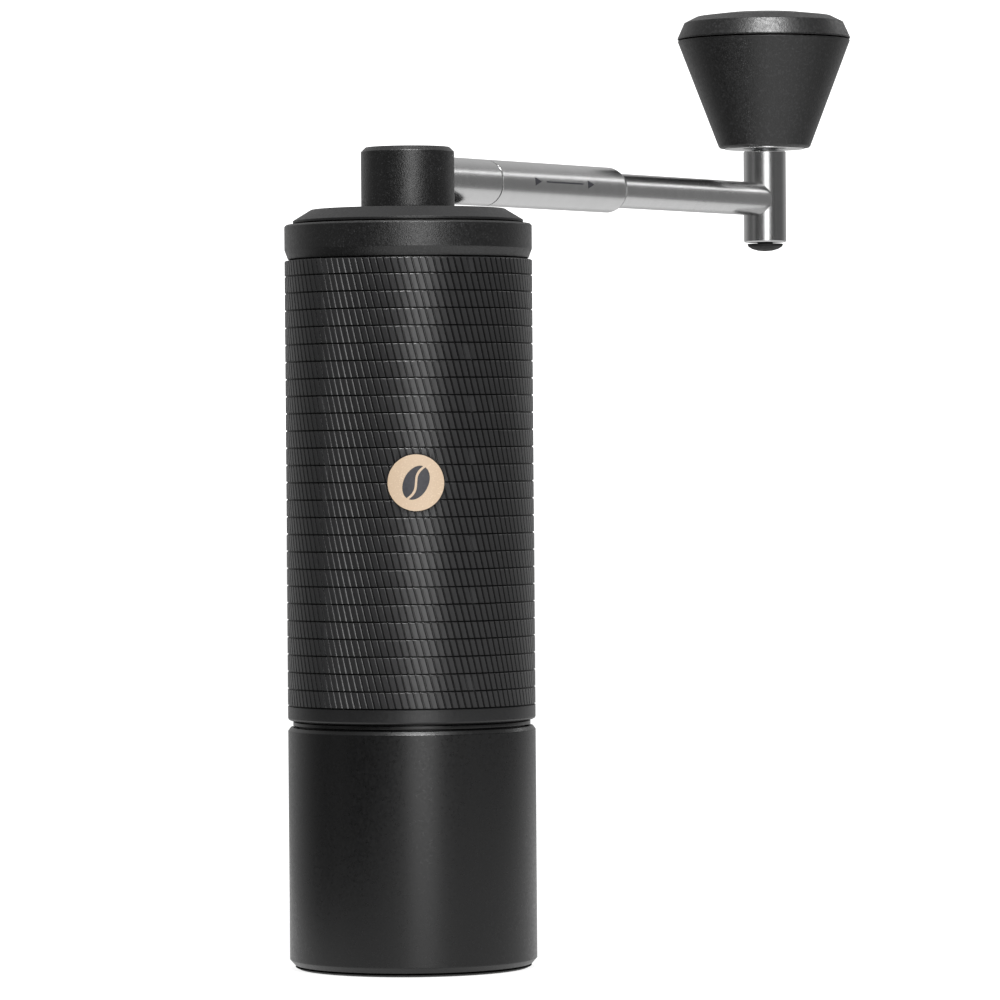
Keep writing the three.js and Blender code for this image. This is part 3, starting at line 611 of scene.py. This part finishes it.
def knurl_rows():
    """Heights up the knurled zone with how deep the surface is there. Each row slopes in at its top."""
    k = KNURL
    stations = []
    for row in range(k["rows"]):
        z = k["first"] + row * k["pitch"]
        low, high = z - k["slot"] / 2, z + k["slot"] / 2
        if row:
            stations += [(low - k["round_off"], 0.0), (low - k["round_height"], k["round_depth"])]
        stations += [(low, k["slot_depth"]), (high, k["slot_depth"]), (high + k["slot_lip"], 0.0)]
    return stations


def outer_shell():
    """The shell with its knurl: slanted grooves across rows of pads, over a smooth band at the bottom."""
    k = KNURL
    bore, edge = SHELL["bore"], SHELL["edge"]
    per_pad = [  # share of the pad's width, share of the groove's depth, and shine
        (0.0, 0.0, 0.4),
        (k["bevel"], k["bevel_depth"], 1.0),
        (k["lit_flank"], 1.0, 1.0),
        (k["groove"] - k["steep_flank"], 1.0, 0.0),
        (k["groove"], 0.0, 0.0),
    ]
    columns = k["pads"] * len(per_pad)
    vertices, rings, shine = [], [], []

    def add_ring(z, r, grooved=False, least_shine=0.0):
        rings.append(len(vertices))
        turn = -k["slant"] * max(z, k["first"]) / BARREL_R
        for pad in range(k["pads"]):
            for share, depth, brightness in per_pad:
                angle = 2 * math.pi * (pad + share) / k["pads"] + turn
                here = min(r, BARREL_R - k["depth"] * depth) if grooved else r
                vertices.append((here * math.cos(angle), here * math.sin(angle), z))
                shine.append(max(brightness, least_shine) if grooved else 0.0)

    add_ring(SHELL_LOW, bore)
    add_ring(SHELL_LOW, BARREL_R - edge)
    add_ring(SHELL_LOW + edge * 0.4, BARREL_R - edge * 0.3)
    add_ring(SHELL_LOW + edge, BARREL_R)
    rows = knurl_rows()
    add_ring(rows[0][0] - k["plain_end"], BARREL_R)
    for z, sunk in rows:
        add_ring(z, BARREL_R - sunk, sunk < k["slot_depth"], k["round_shine"] if sunk else 0.0)
    add_ring(SHELL_HIGH - k["round_off"], BARREL_R, True)
    add_ring(SHELL_HIGH - k["round_height"], BARREL_R - k["round_depth"], True)
    add_ring(SHELL_HIGH, BARREL_R - k["slot_depth"])
    add_ring(SHELL_HIGH, bore)

    faces = []
    for a, b in zip(rings, rings[1:] + rings[:1]):
        for i in range(columns):
            j = (i + 1) % columns
            faces.append((a + i, a + j, b + j, b + i))
    shell = new_object("knurled_shell", vertices, faces)
    shell.data.attributes.new("shine", "FLOAT", "POINT").data.foreach_set("value", shine)
    outward(shell)
    cut(shell, badge_tool(circle(BADGE_R + BADGE["gap"]), BARREL_R - BADGE["recess"]))
    shade(shell, 20)
    return dress(shell, "barrel", "knurled_black", "outer_shell")


# ------------------------------------------------------------------ badge


def circle(r, points=96):
    return arc(r, 0, 2 * math.pi, points + 1)[:-1]


def badge_tool(outline, inner, outer=BARREL_R + 2 * MM):
    """A prism that points out of the barrel at the badge, between two distances from the barrel's axis."""
    near, far = ([(x, -depth, BADGE_Z + z) for x, z in outline] for depth in (inner, outer))
    return prism("tool", near, far)


def curved_plate(name, r, inner, outer):
    """A disc bent to the barrel between two radii."""
    low, high = BADGE_LOW.z - MM, BADGE_HIGH.z + MM
    plate = turned(name, [(inner, low), (outer, low), (outer, high), (inner, high)])
    cut(plate, badge_tool(circle(r), 10 * MM), "INTERSECT")
    return plate


def bean_half(side):
    """One half of a coffee bean seen from its flat side, bounded by the S of its crease."""
    rim = [
        (BEAN["wide_r"] * math.cos(a), BEAN["long_r"] * math.sin(a))
        for a in np.linspace(-math.pi / 2, math.pi / 2, 33)
    ]
    crease = [
        (BEAN["gap"] - side * BEAN["sway"] * math.sin(t * 2 * math.pi), BEAN["long_r"] * (1 - 2 * t))
        for t in np.linspace(*BEAN["crease"], 25)
    ]
    c, s = math.cos(BEAN["tilt"]), math.sin(BEAN["tilt"])
    return [(side * x * c - z * s, side * x * s + z * c) for x, z in rim[1:-1] + crease]


def badge():
    """A plain disc with a bean let into it in dark enamel."""
    face = BARREL_R + BADGE["proud"]
    back, front = BADGE["inlay"]
    plate = curved_plate("badge_plate", BADGE_R - BADGE["trim"], BARREL_R - BADGE["depth"], face)
    for side, word in ((1, "right"), (-1, "left")):
        cut(plate, badge_tool(bean_half(side), face - BADGE["engraved"], face + MM))
        inlay = curved_plate(f"badge_inlay_{word}", BADGE_R, face - back, face - front)
        cut(inlay, badge_tool(bean_half(side), 20 * MM, BARREL_R + MM), "INTERSECT")
        dress(inlay, "barrel", "enamel")
    dress(plate, "barrel", "gold_satin", "badge")


# ------------------------------------------------------------------ crank


def along_arm(node):
    """Nearest and furthest reach of a CAD node along the arm, from the hub's axis."""
    reach = [v.co.dot(ARM_DIRECTION) for v in frame["nodes"][node].data.vertices]
    return min(reach), max(reach)


def flat_plate(name, outline, half):
    """A plate across the hinge axis, from its outline as (along the arm, up) points."""
    near, far = ([(side * half, up, out) for out, up in outline] for side in (-1, 1))
    return prism(name, near, far, ARM_AXIS)


def round_tool(r, place):
    """A cylinder round the place's Z axis, long enough to cut right through the crank."""
    outline = [(0, -TOOL_REACH), (r, -TOOL_REACH), (r, TOOL_REACH), (0, TOOL_REACH)]
    return turned("tool", outline, place, FINE)


def pin_tool():
    return flat_plate("tool", arc(PIN_HOLE_R, 0, 2 * math.pi, TINY + 1, PIVOT_REACH)[:-1], TUBE_R)


def crank_stub():
    """The tube on the hub, with the hinge tongue that it carries inside the locking tube."""
    hub_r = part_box("crank_hub")[1].x
    start = hub_r * 0.7
    seam = along_arm("pull_sleeve")[0] - SEAM_GAP
    outline = [(0, start), (TUBE_R, start), (TUBE_R, seam), (0, seam)]
    tube = turned("stub_tube", rounded(outline, CRANK_EDGE), ARM_AXIS, SMALL)
    cut(tube, round_tool(hub_r + FIT, Matrix.Translation((0, 0, ARM_HEIGHT))))
    dress(tube, "crank", "brushed_steel", "crank_stub")
    half = TONGUE_HALF_HEIGHT
    tip = arc(half, -math.pi / 2, math.pi / 2, 25, PIVOT_REACH)
    tongue = flat_plate("stub_tongue", [(seam - MM, -half), *tip, (seam - MM, half)], TONGUE_HALF_WIDTH)
    cut(tongue, pin_tool())
    dress(tongue, "crank", "brushed_steel")
    fine_copy("hinge_pin", "arm", "machined_steel", PIN_AXIS, 0.15, TINY)


def crank_rod():
    """The rod from its round-ended fork to the post, with a neck for the locking tube's spring."""
    start, end = PIVOT_REACH - HEAD_R, POST_FOOT.dot(ARM_DIRECTION)
    outline = [
        (0, start), (HEAD_R, start), (HEAD_R, HEAD_END), (NECK_R, HEAD_END),
        (NECK_R, SHOULDER), (ROD_R, SHOULDER), (ROD_R, end), (0, end),
    ]
    rod = turned("crank_rod_turned", rounded(outline, CRANK_EDGE), ARM_AXIS, SMALL)
    cut(rod, round_tool(POST_R + FIT, POST_AXIS))
    past, up = PIVOT_REACH - 2 * HEAD_R, 2 * HEAD_R
    fork_slot = [(past, -up), (SLOT_END, -up), (SLOT_END, up), (past, up)]
    cut(rod, flat_plate("tool", fork_slot, SLOT_HALF_WIDTH))
    round_end = arc(HEAD_R, math.pi / 2, 1.5 * math.pi, 33, PIVOT_REACH)
    beyond = [(PIVOT_REACH, up), (past, up), (past, -up), (PIVOT_REACH, -up)]
    cut(rod, flat_plate("tool", [*beyond, *reversed(round_end)], up))
    cut(rod, pin_tool())
    dress(rod, "arm", "brushed_steel", "crank_rod")


def wrapped_mark(name, half, bounds, steps=12):
    """A thin mark bent round the tube. Bounds gives its start and end along the arm at each height."""
    radii = TUBE_R - MARK["sunk"], TUBE_R + MARK["proud"]
    vertices = []
    for i in range(steps + 1):
        up = half * (2 * i / steps - 1)
        angle = MARK["facing"] - up / TUBE_R
        for r, out in itertools.product(radii, bounds(up)):
            vertices.append((r * math.cos(angle), r * math.sin(angle), out))
    faces = [(0, 1, 3, 2), tuple(4 * steps + k for k in (0, 1, 3, 2))]
    for i in range(steps):
        low, high = 4 * i, 4 * i + 4
        for a, b in ((0, 1), (1, 3), (3, 2), (2, 0)):
            faces.append((low + a, low + b, high + b, high + a))
    mark = new_object(name, vertices, faces, ARM_AXIS)
    outward(mark)
    shade(mark)
    dress(mark, "sleeve", "enamel")


def sleeve_marks():
    """Two arrowheads and a line on the side of the tube: pull this way."""

    def arrowhead(start):
        def bounds(up):
            return start, start + ARROW["tip"] + ARROW["length"] * (1 - abs(up) / ARROW["half"])

        return bounds

    for i, start in enumerate(ARROW["starts"]):
        wrapped_mark(f"sleeve_arrow_{i + 1}", ARROW["half"], arrowhead(start))
    wrapped_mark("sleeve_line", LINE["half"], lambda up: LINE["span"], LINE["steps"])


# ------------------------------------------------------------------ springs


def springs():
    """The sleeve's spring is given a mesh of its own. The burr's keeps its length."""
    low, high = along_arm("sleeve_spring")
    coil = spring("sleeve_spring", "arm", ARM_AXIS, low, high, **SLEEVE_SPRING)
    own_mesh(coil)
    low, high = (corner.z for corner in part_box("burr_spring"))
    spring("burr_spring", "shaft", BODY_AXIS, low + BURR_RISE, high, **BURR_SPRING)


# ------------------------------------------------------------------ the assembly

TURNED_PIECES = [  # body, axis, facets, and each node with the rounding of its edges in millimetres
    ("cup", BODY_AXIS, FINE, {"base_pad": 0.3, "catch_cup": 0.25}),
    ("barrel", BODY_AXIS, FINE, {"thread_collar": 0.12, "top_collar": 0.15}),
    ("lid", BODY_AXIS, FINE, {"lid": 0.15, "lid_gasket": 0.5, "lid_bush": 0.15}),
    ("crank", BODY_AXIS, SMALL, {"crank_hub": 0.25, "lid_retaining_ring": 0.1}),
    ("sleeve", ARM_AXIS, SMALL, {"pull_sleeve": 0.15, "sleeve_bush": 0.1}),
    ("arm", POST_AXIS, SMALL, {"end_post": 0.15, "post_bumper": 0.3}),
    ("knob", POST_AXIS, FINE, {"knob_body": 0.2, "knob_cap": 0.35, "knob_plate": 0.2}),
]
ROUNDED_PIECES = [  # not turned all round: spokes, flats, flutes or notches
    "hopper_liner", "burr_carrier", "outer_burr", "upper_bridge",
    "upper_bearing_outer_race", "lower_bearing_outer_race",
    "drive_shaft", "shaft_sleeve", "shaft_snap_ring",
    "upper_bearing_inner_race", "lower_bearing_inner_race",
    "inner_burr", "click_plate", "adjuster_dial", "drive_socket",
]
ROUNDED_KNOB_PIECES = ["knob_spindle", "knob_bush_lower", "knob_bush_upper"]


def carry_over():
    """Every CAD node gets its finish. The ones that are rebuilt are then hidden."""
    for name, node in frame["nodes"].items():
        node.data.materials.clear()
        node.data.materials.append(MATERIALS[MATERIAL_OF[name]])


def assemble():
    carry_over()
    outer_shell()
    badge()
    for body, place, facets, pieces in TURNED_PIECES:
        for node, fillet in pieces.items():
            fine_copy(node, body, MATERIAL_OF[node], place, fillet, facets)
    crank_stub()
    crank_rod()
    sleeve_marks()
    for node in ROUNDED_PIECES:
        rounder(node, BODY_OF[node])
    for node in ROUNDED_KNOB_PIECES:
        rounder(node, BODY_OF[node], POST_AXIS)
    springs()


# ------------------------------------------------------------------ floor, light and camera

ROOM, BACKDROP = 0.055, 0.54  # brightness all round, and behind the object
CEILING, WINGS = 0.3, 0.07  # what the ceiling and the sides add
RAMPS = [  # axis, where that part of the room starts and is full, and what it adds
    ("Y", 0.1, 0.95, BACKDROP - ROOM),
    ("Z", 0.35, 0.95, CEILING),
    ("X", 0.75, 1.0, WINGS),
    ("X", -0.75, -1.0, WINGS),
]
LAMPS = {  # place, size in metres and watts
    "key": ((0.1, -1.08, 1.75), (0.65, 0.5), 40.0),
    "front": ((0.21, -1.7, 0.35), (0.75, 1.5), 9.5),
    "strip": ((1.3, 0.75, 0.8), (1.2, 0.12), 0.9),
    "left": ((-1.6, -0.5, 0.5), (0.4, 1.2), 0.2),
    "right": ((1.5, -0.9, 0.5), (0.4, 1.2), 0.1),
}
LAMP_TARGET = (0, 0, 0.1)
GROUNDS = {  # height, reach across and in depth, and glow
    "floor": (-0.1 * MM, (-6, 6), (-6, 6), 0.9),
    "floor_bounce": (-0.5 * MM, (-0.12, 0.44), (-0.4, 0.4), 0.72),
}
FLOOR_GREY, FLOOR_DARK, FLOOR_LIGHT = (0.3, 0.3, 0.3), (0.29, 0.29, 0.29), (0.31, 0.31, 0.31)
CAMERA = {
    "turn": math.radians(-3.6), "pitch": math.radians(0.558), "roll": math.radians(0.445),
    "place": (19.23 * MM, -1254.5 * MM, 112.1 * MM), "sensor": 36, "lens": 210.96, "reach": 50,
}


def floor():
    """A pale floor for the camera, and a small one just below that metal mirrors and takes light from."""
    for name, (z, across, deep, glow) in GROUNDS.items():
        corners = [(x, y, z) for x, y in itertools.product(across, deep)]
        ground = new_object(name, corners, [(0, 2, 3, 1)])
        g = Graph(name, FLOOR_GREY, 0.8)
        g.feed("Base Color", g.blend(g.noise(3, 2.0), FLOOR_DARK, FLOOR_LIGHT))
        g.set("Emission Color", (1, 1, 1, 1))
        g.set("Emission Strength", glow)
        ground.data.materials.append(g.material)
        seen = name == "floor"
        ground.visible_camera = seen
        ground.visible_glossy = not seen
        ground.visible_diffuse = not seen


def soft_light(name, place, size, power):
    lamp = bpy.data.lights.new(name, "AREA")
    lamp.shape = "RECTANGLE"
    lamp.size, lamp.size_y = size
    lamp.energy = power
    holder = bpy.data.objects.new(name, lamp)
    bpy.context.scene.collection.objects.link(holder)
    holder.location = place
    aim = Vector(LAMP_TARGET) - Vector(place)
    holder.rotation_euler = aim.to_track_quat("-Z", "Y").to_euler()
    holder.visible_camera = False


def studio():
    """A dim room, brighter behind, above and at both sides, with white behind the object for the camera."""
    world = bpy.data.worlds.new("studio")
    bpy.context.scene.world = world
    world.use_nodes = True
    tree = world.node_tree
    node = tree.nodes.new
    background = tree.nodes["Background"]
    background.inputs["Color"].default_value = (1, 1, 1, 1)
    split = node("ShaderNodeSeparateXYZ")
    tree.links.new(node("ShaderNodeTexCoord").outputs["Generated"], split.inputs["Vector"])

    def ramp(axis, start, full, brightness):
        step = node("ShaderNodeMapRange")
        step.interpolation_type = "SMOOTHSTEP"
        step.inputs["From Min"].default_value = start
        step.inputs["From Max"].default_value = full
        step.inputs["To Min"].default_value = 0.0
        step.inputs["To Max"].default_value = brightness
        tree.links.new(split.outputs[axis], step.inputs["Value"])
        return step.outputs["Result"]

    def add(a, b):
        total = node("ShaderNodeMath")
        tree.links.new(a, total.inputs[0])
        tree.links.new(b, total.inputs[1])
        return total.outputs["Value"]

    room = node("ShaderNodeValue").outputs["Value"]
    room.default_value = ROOM
    for part in RAMPS:
        room = add(room, ramp(*part))
    lit = add(room, node("ShaderNodeLightPath").outputs["Is Camera Ray"])
    tree.links.new(lit, background.inputs["Strength"])
    for name, (place, size, power) in LAMPS.items():
        soft_light(name, place, size, power)


def camera():
    """A long lens level with the barrel's upper half, turned and rolled a little."""
    pitch, roll = CAMERA["pitch"], CAMERA["roll"]
    forward = Vector((0, math.cos(pitch), -math.sin(pitch)))
    level_up = Vector((0, math.sin(pitch), math.cos(pitch)))
    right = Vector((1, 0, 0)) * math.cos(roll) - level_up * math.sin(roll)
    up = Vector((1, 0, 0)) * math.sin(roll) + level_up * math.cos(roll)
    pose = Matrix((right, up, -forward)).transposed().to_4x4()
    pose.translation = CAMERA["place"]
    lens = bpy.data.cameras.new("camera")
    lens.sensor_width = CAMERA["sensor"]
    lens.lens = CAMERA["lens"]
    lens.clip_end = CAMERA["reach"]
    holder = bpy.data.objects.new("camera", lens)
    bpy.context.scene.collection.objects.link(holder)
    holder.matrix_world = Matrix.Rotation(CAMERA["turn"], 4, "Z") @ pose
    bpy.context.scene.camera = holder


assemble()
floor()
studio()
camera()
bpy.context.scene.view_settings.view_transform = "Standard"
